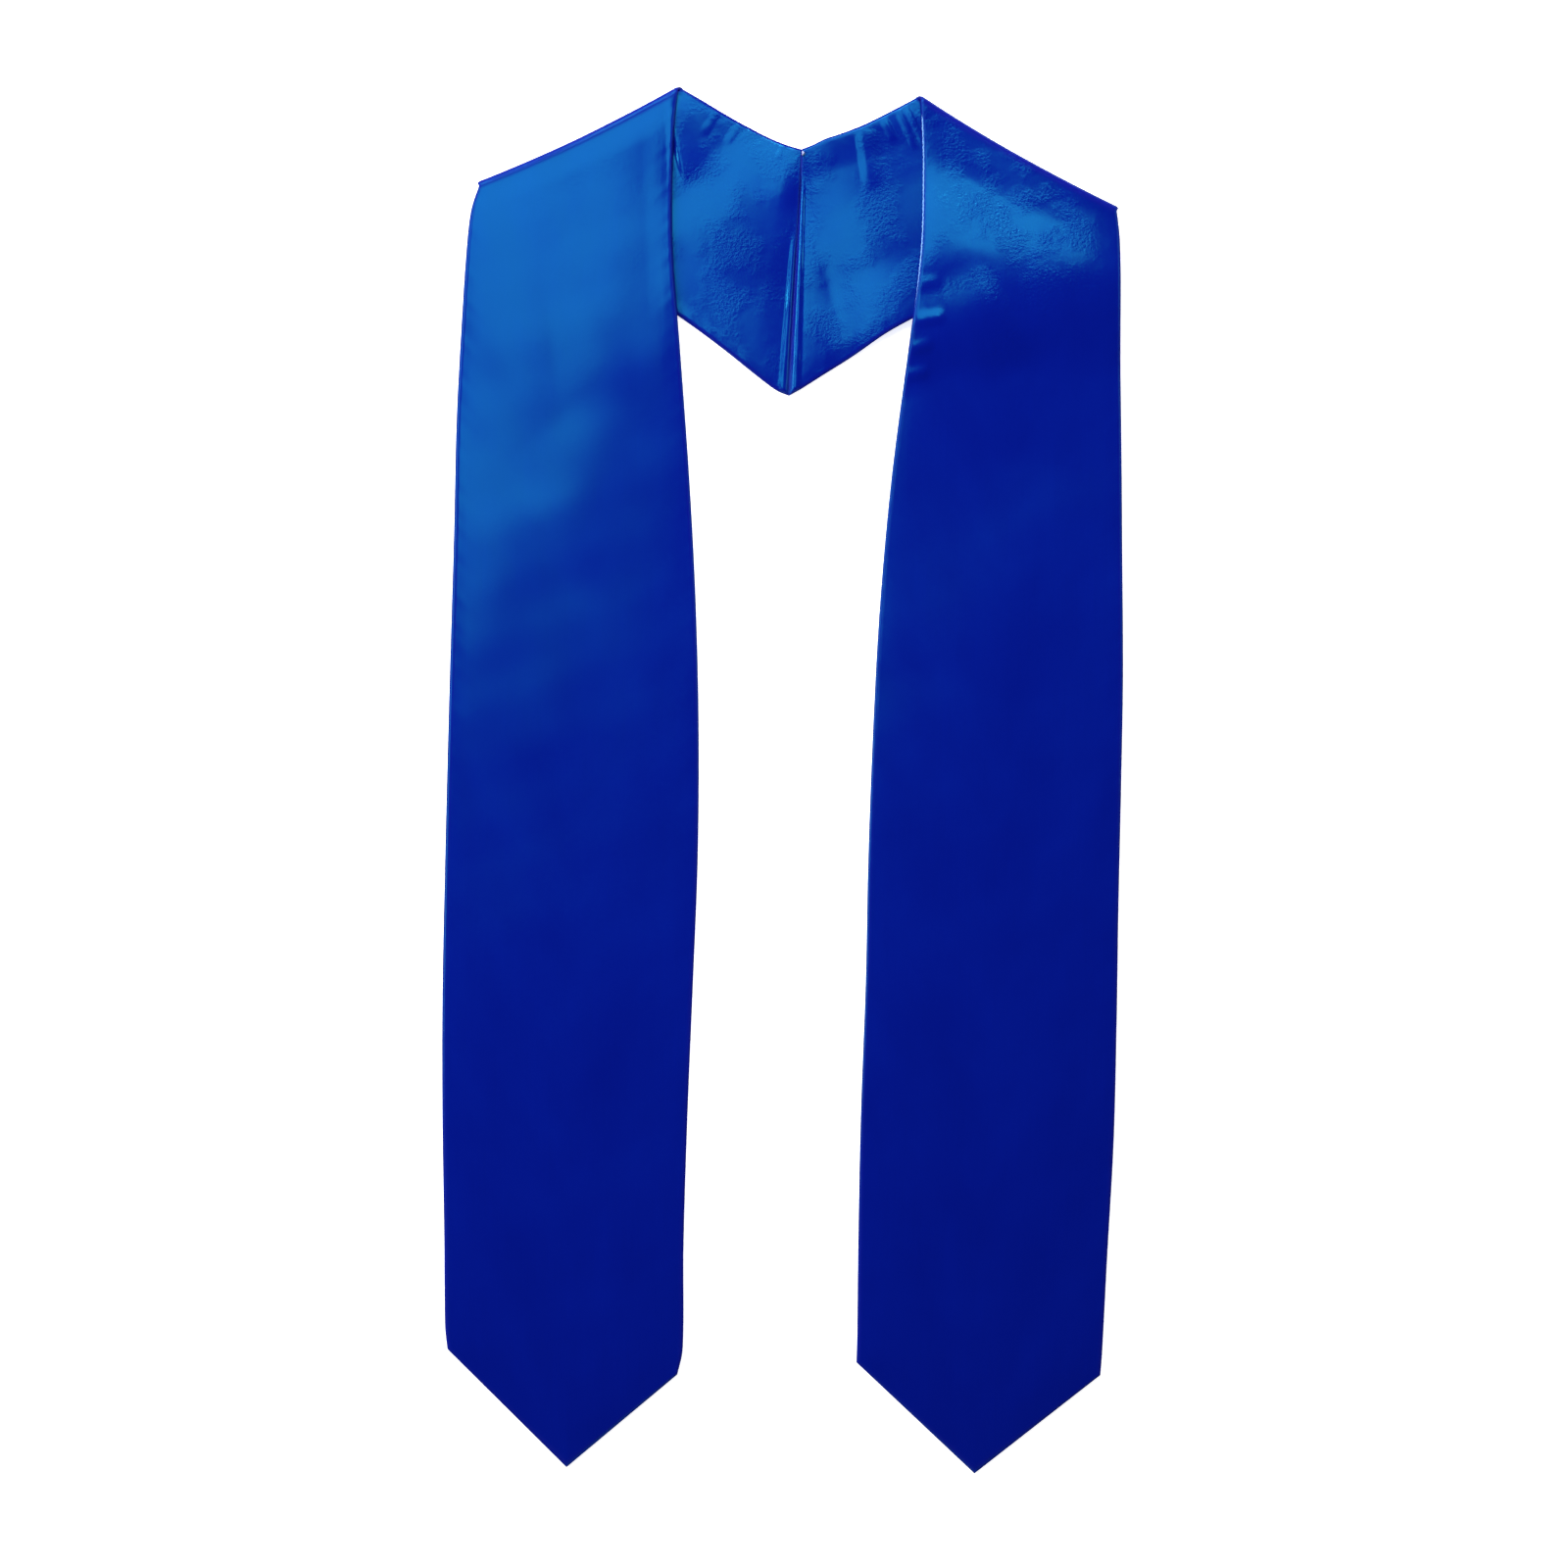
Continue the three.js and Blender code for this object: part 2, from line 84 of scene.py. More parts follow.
# Billows and creases of the cloth, in plan. x and y are millimetres from the top of the centre seam to
# the middle of the crest, and turn is the crest's direction in degrees from +X. long is half the
# crest's length. left and right are how far each side falls, seen along the crest, and fan is the
# share by which the left side widens along it. Height is in millimetres. The ground's billows lift
# both the yoke and the front that lies on it.
BILLOWS = {
    ("left", "ground"): (
        dict(x=-70, y=33, turn=25, long=72, left=30, right=46, height=1.4),
        dict(x=-30, y=-27, turn=50, long=52, left=34, right=52, height=1.5),
        dict(x=0, y=-2, turn=-84, long=32, left=20, right=26, height=1.3),
    ),
    ("right", "ground"): (
        dict(x=34, y=18, turn=22, long=90, left=12, right=48, height=2.0),
        dict(x=75, y=-57, turn=17, long=150, back=65, left=150, right=150, height=4.4),
        dict(x=54, y=-112, turn=26, long=36, left=50, right=30, height=2.1),
        dict(x=20, y=21, turn=22, long=70, left=12, right=32, height=2.3),
    ),
    ("left", "front"): (
        dict(x=-152, y=-105, turn=-88, long=90, left=60, right=40, height=0.5),
        dict(x=-118, y=-190, turn=40, long=50, left=44, right=60, height=0.7),
        dict(x=-84, y=-104, turn=6, long=60, left=70, right=60, height=0.8),
        dict(x=-150, y=-470, turn=20, long=60, left=80, right=80, height=0.9),
        dict(x=-80, y=-620, turn=-60, long=60, left=60, right=60, height=1.0),
    ),
    ("right", "front"): (
        dict(x=118, y=6, turn=-28, long=110, left=20, right=36, height=2.4),
        dict(x=128, y=-74, turn=-1, long=96, back=130, left=54, fan=-0.65, right=56, height=3.8),
        dict(x=70, y=-60, turn=12, long=40, left=50, right=24, height=0.8),
        dict(x=96, y=-100, turn=35, long=26, left=34, right=38, height=1.8),
        dict(x=110, y=-240, turn=75, long=70, left=60, right=60, height=1.0),
        dict(x=80, y=-360, turn=-70, long=70, left=60, right=60, height=1.0),
        dict(x=120, y=-560, turn=60, long=70, left=65, right=65, height=1.0),
    ),
}

# Narrow creases and puckers, in the same form. They raise only the cloth that is seen.
CREASES = {
    ("left", "front"): (
        dict(x=-73.5, y=5, turn=-88, long=34, left=2.2, right=3.4, height=0.5),
        dict(x=-68, y=-38, turn=-88, long=66, left=6, right=22, height=0.7),
    ),
    ("left", "yoke"): (
        dict(x=-12, y=-1, turn=60, long=6, left=2.8, right=2.4, height=0.14),
        dict(x=-38, y=10, turn=52, long=9, left=3.4, right=3.0, height=0.13),
        dict(x=-52, y=15, turn=58, long=9, left=3.6, right=3.2, height=0.15),
        dict(x=-73, y=14, turn=-78, long=36, left=26, right=3, height=1.3),
        dict(x=-42, y=-112, turn=-38, long=42, left=6, right=7, height=0.5),
    ),
    ("right", "front"): (
        dict(x=71, y=-76, turn=12, long=8, left=4.0, right=6.0, height=0.45),
        dict(x=72, y=-97, turn=6, long=10, left=5.5, right=4.5, height=0.8),
        dict(x=67, y=-112, turn=14, long=8, left=4.5, right=5.0, height=0.7),
        dict(x=65, y=-127, turn=10, long=8, left=4.5, right=5.0, height=0.8),
    ),
    ("right", "yoke"): (
        dict(x=36, y=-3, turn=-82, long=21, left=10, right=5.5, height=0.6),
        dict(x=49, y=11, turn=-62, long=8, left=3, right=4.0, height=0.4),
        dict(x=59, y=12, turn=-66, long=14, left=2.2, right=3.6, height=0.42),
        dict(x=64.5, y=12, turn=-64, long=15, left=2.2, right=3.4, height=0.42),
    ),
}


class StoleSizes(bpy.types.PropertyGroup):
    """Sizes of the laid stole and its cloth"""

    front_length: bpy.props.FloatProperty(
        name="Front length", description="Shoulder tip to hem corner", default=0.661, unit="LENGTH"
    )
    band_width: bpy.props.FloatProperty(
        name="Band width", description="A front band at its widest", default=0.14, unit="LENGTH"
    )
    point_depth: bpy.props.FloatProperty(
        name="Point depth", description="Hem corners to the tip", default=0.0595, unit="LENGTH"
    )
    neck_span: bpy.props.FloatProperty(
        name="Neck span", description="Between the two neck peaks", default=0.1367, unit="LENGTH"
    )
    neck_drop: bpy.props.FloatProperty(
        name="Neck drop", description="Neck peaks down to the seam", default=0.0329, unit="LENGTH"
    )
    shoulder_span: bpy.props.FloatProperty(
        name="Shoulder span", description="Between the shoulder tips", default=0.3633, unit="LENGTH"
    )
    shoulder_drop: bpy.props.FloatProperty(
        name="Shoulder drop", description="Neck peaks down to the tips", default=0.0586, unit="LENGTH"
    )
    seam_length: bpy.props.FloatProperty(
        name="Seam length", description="Centre back seam", default=0.1394, unit="LENGTH"
    )
    cloth_thickness: bpy.props.FloatProperty(
        name="Cloth thickness", description="One cloth with its allowance", default=0.001, unit="LENGTH"
    )
    layer_gap: bpy.props.FloatProperty(
        name="Layer gap", description="Between face and lining at the edges", default=0.0003, unit="LENGTH"
    )
    band_loft: bpy.props.FloatProperty(
        name="Loft", description="How far the upper cloth stands off", default=0.0006, unit="LENGTH"
    )
    billow: bpy.props.FloatProperty(
        name="Billow", description="Share of the billows' heights", default=1.0, min=0
    )
    ridge_height: bpy.props.FloatProperty(
        name="Seam ridge", description="Padded ridge beside the seam", default=0.0008, unit="LENGTH"
    )


class SatinFinish(bpy.types.PropertyGroup):
    """Colour and gloss of the satin"""

    dye: bpy.props.FloatVectorProperty(
        name="Dye",
        description="Colour of the cloth",
        subtype="COLOR",
        size=3,
        default=(0.0008, 0.0036, 0.165),
    )
    lustre: bpy.props.FloatVectorProperty(
        name="Lustre", description="Colour of its gloss", subtype="COLOR", size=3, default=(0.03, 0.7, 1.0)
    )
    roughness: bpy.props.FloatProperty(
        name="Roughness", description="Width of the gloss", default=0.2, min=0, max=1, subtype="FACTOR"
    )
    weave_pitch: bpy.props.FloatProperty(
        name="Weave pitch", description="Width of one float of the weave", default=0.0005, unit="LENGTH"
    )


class StageLook(bpy.types.PropertyGroup):
    """Floor, lights and camera"""

    floor_tone: bpy.props.FloatProperty(
        name="Floor tone", description="Paleness of the floor", default=0.96, min=0, max=1, subtype="FACTOR"
    )
    window_power: bpy.props.FloatProperty(
        name="Window power", description="High soft light, watts", default=11.0, min=0
    )
    side_power: bpy.props.FloatProperty(
        name="Side power", description="Each low side light, watts", default=40.0, min=0
    )
    camera_height: bpy.props.FloatProperty(
        name="Camera height", description="Above the floor", default=2.5, unit="LENGTH"
    )
    view_width: bpy.props.FloatProperty(
        name="View width", description="Width of floor in the picture", default=0.8889, unit="LENGTH"
    )


EDGE_ROUNDING = 0.0016
EDGE_THICKNESS = 0.00035
RIM_STEPS = np.array((0, 0.04, 0.15, 0.35, 0.65, 1))
LOFT_REACH = 0.018
RAMP_LENGTH = 0.12
RAMP_CLEARANCE = 0.005
LAY_CLEARANCE = 0.0004
RIDGE_WIDTH = 0.0055
POINT_REACH = 0.12
SEAM_GAP = 0.00003
SEAM_LEAN = 0.054
SHOULDER_SAG = 0.016
PEAK_LEAN = 0.6
ALLOWANCE_WIDTH = 0.009
EDGE_WAVE_PITCH = 0.013
EDGE_WAVE_HEIGHT = 0.00018
EDGE_WAVE_REACH = 0.005
FAR = 9.0
FLOOR_HALF = 5.0
FLOOR_DROP = 0.0003
THREAD_SPACING = 0.0003

# Rows of the front, the fold and the yoke, and columns on each side of the point's tip.
GRIDS = {"face": (300, 20, 120, 45), "lining": (120, 20, 190, 45)}


# Height of the crushed grain near the neck.
GRAIN = {"left_face": 0.00005, "left_lining": 0.00015, "right_lining": 0.00015, "right_face": 0.00024}


def smooth_share(low, high, value):
    """0 below low, 1 above high, and a smooth S between them: 3t^2 - 2t^3."""
    t = np.clip((value - low) / (high - low), 0, 1)
    return t * t * (3 - 2 * t)


def relief(table, x, y):
    """Sum of billows in plan. Along its crest each is flat-topped, (1 - u^4)^2. On each side it falls
    as (1 - v^2)^2. The share u is of its length that way, long or back, and v of that side's width."""
    total = np.zeros(np.broadcast(x, y).shape)
    for b in table:
        turn = np.radians(b["turn"])
        dx, dy = 1000 * x - b["x"], 1000 * y - b["y"]
        u = dx * np.cos(turn) + dy * np.sin(turn)
        u = u / np.where(u > 0, b["long"], b.get("back", b["long"]))
        v = dy * np.cos(turn) - dx * np.sin(turn)
        v = v / np.where(v > 0, b["left"] * np.maximum(0.1, 1 + b.get("fan", 0) * u), b["right"])
        total += b["height"] / 1000 * np.maximum(0, 1 - u**4) ** 2 * np.maximum(0, 1 - v**2) ** 2
    return total


def read_column(table, column, along):
    """A column of a table at every share along it, on a cubic curve through its rows."""
    xs = np.array(table["along"], dtype=float)
    ys = np.array(table[column], dtype=float)
    last = len(xs) - 1
    i = np.clip(np.searchsorted(xs[1:-1], along), 0, last - 1)
    before = np.maximum(np.arange(last + 1) - 1, 0)
    after = np.minimum(np.arange(last + 1) + 1, last)
    slopes = (ys[after] - ys[before]) / (xs[after] - xs[before])
    span = xs[i + 1] - xs[i]
    s = (along - xs[i]) / span
    return (
        ys[i] * (1 + 2 * s) * (1 - s) ** 2
        + ys[i + 1] * (3 - 2 * s) * s**2
        + slopes[i] * span * s * (1 - s) ** 2
        + slopes[i + 1] * span * s**2 * (s - 1)
    )


def unit(vector):
    """A vector shortened to a length of 1."""
    return vector / np.linalg.norm(vector)


def ripple(distance, pitch, seed):
    """A slow wave of uneven length, from 0 to 1, along a distance: three sines of unlike pitch."""
    turns = 2 * np.pi * distance / pitch
    wave = np.sin(turns + seed)
    wave = wave + 0.7 * np.sin(1.63 * turns + 2.1 * seed)
    wave = wave + 0.5 * np.sin(0.57 * turns + seed**2)
    return 0.5 + 0.5 * wave / 2.2


def undulation(x, y, seed):
    """Slow shallow waves of a limp cloth: eight sines of unlike length and direction, each with
    slopes of a few thousandths."""
    draw = np.random.default_rng(seed)
    total = np.zeros(x.shape)
    for length in np.geomspace(0.026, 0.1, 8):
        heading, phase = draw.uniform(0, 2 * np.pi, 2)
        distance = x * np.cos(heading) + y * np.sin(heading)
        total += 0.004 * length / (2 * np.pi) * np.sin(2 * np.pi * distance / length + phase)
    return total


class BandPlan:
    """The corners of one half in plan, and the heights of its layers, from the stole's sizes."""

    def __init__(self, sizes, name):
        self.sizes = sizes
        self.name = name
        self.half = half = HALVES[name]
        self.side = side = half["side"]
        t, gap = sizes.cloth_thickness, sizes.layer_gap
        self.fold_rise = sizes.band_loft + LAY_CLEARANCE + gap + 2 * t
        self.middle_height = t + gap / 2
        radius = self.fold_rise / 2 + gap / 2 + t
        self.seam_top = np.array((side * SEAM_GAP / 2, 0.0))
        fall = sizes.seam_length * np.sqrt(1 - SEAM_LEAN**2)
        self.seam_foot = np.array((self.seam_top[0] - SEAM_LEAN * sizes.seam_length, -fall))
        self.neck_peak = np.array(
            (side * half["neck_out"] * sizes.neck_span, half["neck_up"] * sizes.neck_drop)
        )
        self.shoulder_tip = np.array(
            (
                side * half["shoulder_out"] * sizes.shoulder_span,
                self.neck_peak[1] - half["shoulder_down"] * sizes.shoulder_drop,
            )
        )
        line = unit(self.neck_peak - self.shoulder_tip)
        self.fold_out = np.array((side * line[1], -side * line[0]))
        self.fold_outer = self.shoulder_tip - self.fold_out * radius
        fold_inner = self.neck_peak - self.fold_out * radius
        self.front_inner = fold_inner - line * PEAK_LEAN * radius
        self.yoke_inner = fold_inner + line * PEAK_LEAN * radius
        self.hem_outer = np.array(
            (side * half["hem_out"] * sizes.shoulder_span, self.shoulder_tip[1] - sizes.front_length)
        )
        self.hem_inner = self.hem_outer - sizes.band_width * np.array(
            (side * half["hem_width"], half["hem_skew"])
        )
        lower = unit(self.seam_foot - self.fold_outer)
        self.past_yoke = np.array((-side * lower[1], side * lower[0]))

    def front_edges(self, along):
        """Outer and inner edge of the front: straight lines, bowed by the table."""
        width = self.sizes.band_width
        outer = self.fold_outer + np.outer(along, self.hem_outer - self.fold_outer)
        inner = self.front_inner + np.outer(along, self.hem_inner - self.front_inner)
        outer[:, 0] += self.side * width * read_column(EDGE_BOWS, self.name + "_outer", along)
        inner[:, 0] -= self.side * width * read_column(EDGE_BOWS, self.name + "_inner", along)
        return outer, inner

    def yoke_edges(self, along):
        """Lower and neck edge of the yoke: straight lines, bowed by the table."""
        width = self.sizes.band_width
        lower = self.fold_outer + np.outer(along, self.seam_foot - self.fold_outer)
        neck = self.yoke_inner + np.outer(along, self.seam_top - self.yoke_inner)
        lower[:, 1] += width * read_column(YOKE_BOWS, self.name + "_lower", along)
        neck[:, 1] -= width * read_column(YOKE_BOWS, self.name + "_neck", along)
        return lower, neck

    def columns(self, widths, inner_count):
        """Shares across each row: close ones at the rims, and one that runs to the point's tip."""
        rim = RIM_STEPS[None, :] * EDGE_ROUNDING / widths[:, None]
        first = rim[:, -1:]
        steps = np.arange(1, inner_count)[None, :] / inner_count
        tip = self.half["tip_across"]
        low = first + (tip - first) * steps
        high = tip + (1 - first - tip) * np.concatenate(([[0]], steps), axis=1)
        return np.concatenate((rim, low, high, 1 - rim[:, ::-1]), axis=1)

    def lift(self, part, x, y):
        """Height of the billows under a point of the yoke or the front."""
        total = relief(BILLOWS[self.name, "ground"], x, y)
        if part == "front":
            total = total + relief(BILLOWS[self.name, "front"], x, y)
        return self.sizes.billow * total

    def front(self, along, across):
        """Middle of the front: rows from edge to edge that bend to the point at the hem, at the
        height of the floor, raised over the yoke and by the billows."""
        sizes = self.sizes
        a = along[:, None]
        outer, inner = self.front_edges(along)
        x = outer[:, :1] + (inner[:, :1] - outer[:, :1]) * across
        y = outer[:, 1:] + (inner[:, 1:] - outer[:, 1:]) * across
        from_hem = (1 - a) * sizes.front_length
        tip = self.half["tip_across"]
        tent = np.minimum(across / tip, (1 - across) / (1 - tip))
        y = y - sizes.point_depth * np.maximum(0, 1 - from_hem / POINT_REACH) ** 2 * tent
        near_shoulder = 1 - smooth_share(0, sizes.band_width, a * sizes.front_length)
        sag = SHOULDER_SAG * sizes.band_width * near_shoulder * 4 * across * (1 - across)
        x, y = x - self.fold_out[0] * sag, y - self.fold_out[1] * sag
        past = (x - self.fold_outer[0]) * self.past_yoke[0] + (y - self.fold_outer[1]) * self.past_yoke[1]
        rise = self.fold_rise * (1 - smooth_share(0, RAMP_LENGTH, past - RAMP_CLEARANCE))
        z = self.middle_height + rise + self.lift("front", x, y)
        return np.stack((x, y, z), axis=2)

    def fold(self, turn, across, lifts):
        """Middle of the fold: a half round from the front, turn 0, to the yoke, turn pi."""
        t = turn[:, None]
        inner = self.front_inner + np.outer((1 - np.cos(turn)) / 2, self.yoke_inner - self.front_inner)
        x = self.fold_outer[0] + (inner[:, :1] - self.fold_outer[0]) * across
        y = self.fold_outer[1] + (inner[:, 1:] - self.fold_outer[1]) * across
        out = self.fold_rise / 2 * np.sin(t) - SHOULDER_SAG * self.sizes.band_width * 4 * across * (1 - across)
        x, y = x + self.fold_out[0] * out, y + self.fold_out[1] * out
        upper = (1 + np.cos(t)) / 2
        z = self.middle_height + (self.fold_rise + lifts[0]) * upper + lifts[1] * (1 - upper)
        return np.stack((x, y, z), axis=2)

    def yoke(self, along, across):
        """Middle of the yoke: rows from the lower to the neck edge, flat but for its billows."""
        a = along[:, None]
        lower, neck = self.yoke_edges(along)
        x = lower[:, :1] + (neck[:, :1] - lower[:, :1]) * across
        y = lower[:, 1:] + (neck[:, 1:] - lower[:, 1:]) * across
        sag = SHOULDER_SAG * self.sizes.band_width * (1 - smooth_share(0, 1, a)) * 4 * across * (1 - across)
        x, y = x - self.fold_out[0] * sag, y - self.fold_out[1] * sag
        z = self.middle_height + self.lift("yoke", x, y)
        return np.stack((x, y, z), axis=2)

    def yoke_length(self):
        """Mean of the yoke's two edges."""
        lower = np.linalg.norm(self.fold_outer - self.seam_foot)
        neck = np.linalg.norm(self.yoke_inner - self.seam_top)
        return (lower + neck) / 2


def thickness_at(inset, full):
    """A cloth's thickness near its edge: a quarter of a sine from the thin edge to the full cloth."""
    share = np.clip(inset / EDGE_ROUNDING, 0, 1)
    return EDGE_THICKNESS + (full - EDGE_THICKNESS) * np.sin(np.pi / 2 * share)


def cloth_surfaces(plan, is_face, front_rows, fold_rows, yoke_rows, inner_count):
    """Near and far surface of one cloth of a half, its unrolled position, and how near each point
    is to the rim or the fold's crest, from 0 to 1, on one grid."""
    sizes = plan.sizes
    hem = 1 - RIM_STEPS * EDGE_ROUNDING / sizes.front_length
    front_along = np.concatenate((hem, (np.arange(front_rows - 1, -1, -1) / front_rows) ** 1.25))
    turns = np.pi * np.arange(1, fold_rows) / fold_rows
    lower_length = np.linalg.norm(plan.fold_outer - plan.seam_foot)
    ridge_rows = np.linspace(2 * RIDGE_WIDTH, EDGE_ROUNDING, 16)[1:-1]
    yoke_along = np.concatenate(
        (
            np.arange(yoke_rows) / yoke_rows * (1 - 2 * RIDGE_WIDTH / lower_length),
            1 - ridge_rows / lower_length,
            1 - RIM_STEPS[::-1] * EDGE_ROUNDING / lower_length,
        )
    )

    outer, inner = plan.front_edges(front_along)
    front_width = np.linalg.norm(inner - outer, axis=1)
    across_front = plan.columns(front_width, inner_count)
    front = plan.front(front_along, across_front)
    fold_width = np.full(len(turns), front_width[-1])
    across_fold = plan.columns(fold_width, inner_count)
    lower, neck = plan.yoke_edges(yoke_along)
    yoke_width = np.linalg.norm(neck - lower, axis=1)
    across_yoke = plan.columns(yoke_width, inner_count)
    yoke = plan.yoke(yoke_along, across_yoke)
    lifts = (front[-1:, :, 2] - plan.middle_height - plan.fold_rise, yoke[:1, :, 2] - plan.middle_height)
    fold = plan.fold(turns, across_fold, lifts)

    middle = np.concatenate((front, fold, yoke))
    across = np.concatenate((across_front, across_fold, across_yoke))
    width = np.concatenate((front_width, fold_width, yoke_width))[:, None]
    turn = np.concatenate((np.zeros(len(front_along)), turns, np.full(len(yoke_along), np.pi)))
    sideways = np.minimum(across, 1 - across) * width
    past_front = np.full(len(turns) + len(yoke_along), FAR)
    from_hem = np.concatenate((1 - front_along, past_front)) * sizes.front_length
    before_yoke = np.full(len(front_along) + len(turns), FAR)
    from_seam = np.concatenate((before_yoke, 1 - yoke_along)) * plan.yoke_length()
    from_end = np.minimum(from_hem, from_seam)[:, None]
    inset = np.minimum(sideways, from_end)

    in_front = (np.arange(len(turn)) < len(front_along))[:, None]
    in_yoke = (np.arange(len(turn)) >= len(front_along) + len(turns))[:, None]
    from_fold = np.concatenate(
        (front_along * sizes.front_length, np.zeros(len(turns)), yoke_along * plan.yoke_length())
    )
    loft = smooth_share(0, LOFT_REACH, from_fold)[:, None] * smooth_share(0, LOFT_REACH, from_end)
    loft = loft * (in_front if is_face else in_yoke) * sizes.band_loft * (1 - (2 * across - 1) ** 4)

    x, y = middle[..., 0], middle[..., 1]
    upper = in_front if is_face else in_yoke
    part = "front" if is_face else "yoke"
    detail = relief(CREASES[plan.name, part], x, y) * upper * smooth_share(0, 0.0012, inset)
    step = np.linalg.norm(np.diff(middle, axis=0), axis=2)
    unrolled = np.concatenate((np.zeros((1, step.shape[1])), np.cumsum(step, axis=0)))
    edge_wave = ripple(unrolled, EDGE_WAVE_PITCH, 1.3 + plan.side + is_face)
    edge_wave = EDGE_WAVE_HEIGHT * edge_wave * np.exp(-sideways / EDGE_WAVE_REACH)
    detail = detail + upper * edge_wave * smooth_share(0, EDGE_ROUNDING, inset)
    detail = detail + upper * (0.0003 + undulation(x, y, 4 + plan.side)) * smooth_share(0, 0.012, inset)
    allowance = 0.00008 * (1 - smooth_share(0.6 * ALLOWANCE_WIDTH, 1.2 * ALLOWANCE_WIDTH, inset))
    detail = detail + upper * allowance * smooth_share(0, EDGE_ROUNDING, inset)
    if not is_face:
        beside = from_seam[:, None]
        begin = 0.012 if plan.side > 0 else 0.045
        uneven = (0.8 + 0.4 * ripple(y, 0.03, 0.7 + plan.side)) * smooth_share(begin, begin + 0.02, -y)
        ridge = np.maximum(0, 1 - (beside / (RIDGE_WIDTH / 2) - 1) ** 2) ** 2 * uneven
        detail = detail + sizes.ridge_height * ridge * smooth_share(0, EDGE_ROUNDING, inset)

    away = np.stack(
        (
            plan.fold_out[0] * np.sin(turn),
            plan.fold_out[1] * np.sin(turn),
            np.cos(turn),
        ),
        axis=1,
    )[:, None, :] * (1 if is_face else -1)
    near = sizes.layer_gap / 2 + loft
    far = near + thickness_at(inset, sizes.cloth_thickness) + detail
    flat = np.stack((across * width, unrolled), axis=2)
    rim = 1 - smooth_share(0.5 * EDGE_ROUNDING, 1.5 * EDGE_ROUNDING, inset)
    crest = np.maximum(4 * np.abs(np.sin(turn)), 1 - smooth_share(0, 0.003, from_fold))
    rim = np.maximum(rim, np.minimum(crest, 1)[:, None])
    return middle + away * near[..., None], middle + away * far[..., None], flat, rim


def shell_object(name, near, far, flat, rim, flipped):
    """A closed object from two surfaces on one grid, with walls round all four sides. Its UV map
    is the unrolled cloth in metres, and its rim attribute is 1 at the edges."""
    rows, cols = near.shape[:2]
    count = rows * cols
    index = np.arange(count).reshape(rows, cols)

    def quads(grid):
        return np.stack((grid[:-1, :-1], grid[:-1, 1:], grid[1:, 1:], grid[1:, :-1]), axis=2).reshape(-1, 4)

    far_faces = quads(index + count)
    near_faces = quads(index)[:, ::-1]
    edge = np.concatenate((index[0, :-1], index[:-1, -1], index[-1, :0:-1], index[:0:-1, 0]))
    after = np.roll(edge, -1)
    walls = np.stack((edge, after, after + count, edge + count), axis=1)
    faces = np.concatenate((far_faces, near_faces, walls))
    if flipped:
        faces = faces[:, ::-1]
    points = np.concatenate((near.reshape(-1, 3), far.reshape(-1, 3)))
    mesh = bpy.data.meshes.new(name)
    mesh.vertices.add(len(points))
    mesh.vertices.foreach_set("co", points.astype(np.float32).ravel())
    mesh.loops.add(faces.size)
    mesh.loops.foreach_set("vertex_index", faces.astype(np.int32).ravel())
    mesh.polygons.add(len(faces))
    mesh.polygons.foreach_set("loop_start", np.arange(0, faces.size, 4, dtype=np.int32))
    mesh.polygons.foreach_set("use_smooth", np.ones(len(faces), dtype=bool))
    uvs = np.concatenate((flat.reshape(-1, 2), flat.reshape(-1, 2)))[faces.ravel()]
    layer = mesh.uv_layers.new(name="cloth")
    layer.data.foreach_set("uv", uvs.astype(np.float32).ravel())
    rim_values = mesh.attributes.new("rim", "FLOAT", "POINT")
    rim_values.data.foreach_set("value", np.tile(rim.ravel(), 2).astype(np.float32))
    mesh.update(calc_edges=True)
    mesh.validate()
    piece = bpy.data.objects.new(name, mesh)
    bpy.context.collection.objects.link(piece)
    return piece


class Socket:
    """One output or number of a material's nodes, with the operators that its maths needs."""

    def __init__(self, nodes, source):
        self.nodes = nodes
        self.source = source

    def _math(self, operation, *values):
        return self.nodes.make("ShaderNodeMath", dict(operation=operation), dict(enumerate(values)))

    def __add__(self, other):
        return self._math("ADD", self, other)

    __radd__ = __add__

    def __sub__(self, other):
        return self._math("SUBTRACT", self, other)

    def __rsub__(self, other):
        return self._math("SUBTRACT", other, self)

    def __mul__(self, other):
        return self._math("MULTIPLY", self, other)

    __rmul__ = __mul__


